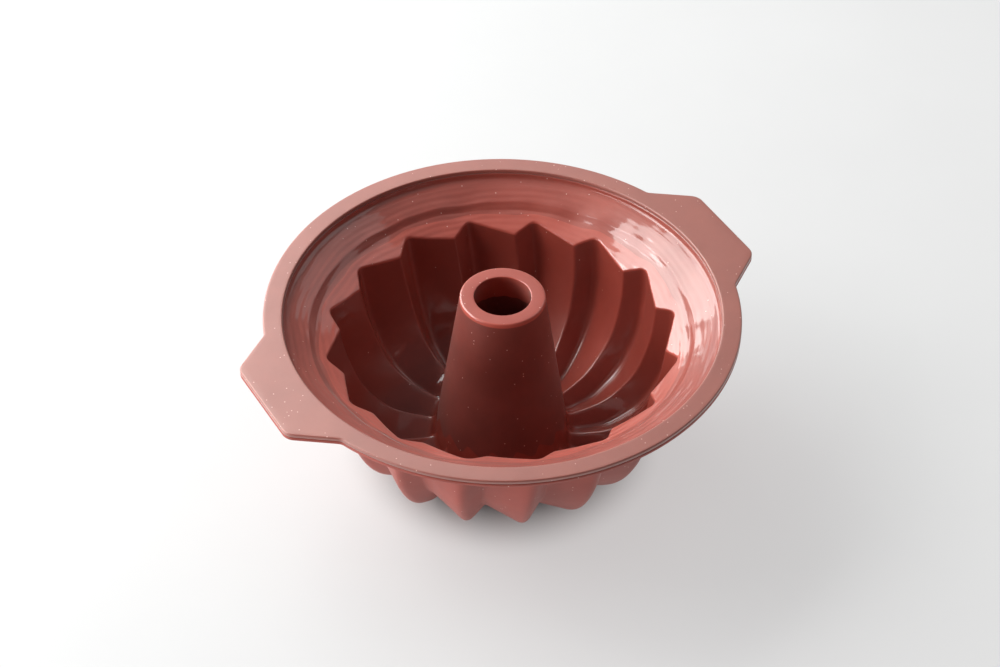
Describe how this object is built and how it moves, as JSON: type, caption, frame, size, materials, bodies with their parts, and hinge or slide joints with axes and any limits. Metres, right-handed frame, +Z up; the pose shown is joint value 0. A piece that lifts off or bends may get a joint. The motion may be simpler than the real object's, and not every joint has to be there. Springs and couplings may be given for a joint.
{
  "type": "bundt pan",
  "caption": "Round fluted ring-cake pan in flexible silicone, with a tapered centre tube, a stepped collar and a flat rim with grip tabs stiffened by a sealed steel wire frame.",
  "frame": {"origin": "on the surface the pan stands on, on the axis of the centre tube", "axes": "+Z up along the centre tube; the two grip tabs point along +X and -X; +Y completes the right-handed frame"},
  "size_m": [0.2952, 0.264, 0.1097],
  "materials": {
    "silicone": "glossy inside, satin outside, terracotta red silicone",
    "silicone_cover": "fine matt, terracotta red silicone",
    "frame_steel": "drawn wire"
  },
  "bodies": {
    "root": {"pan_body": "silicone", "rim_cover": "silicone_cover", "rim_hoop": "frame_steel", "right_grip_wire": "frame_steel", "left_grip_wire": "frame_steel"}
  },
  "joints": []
}
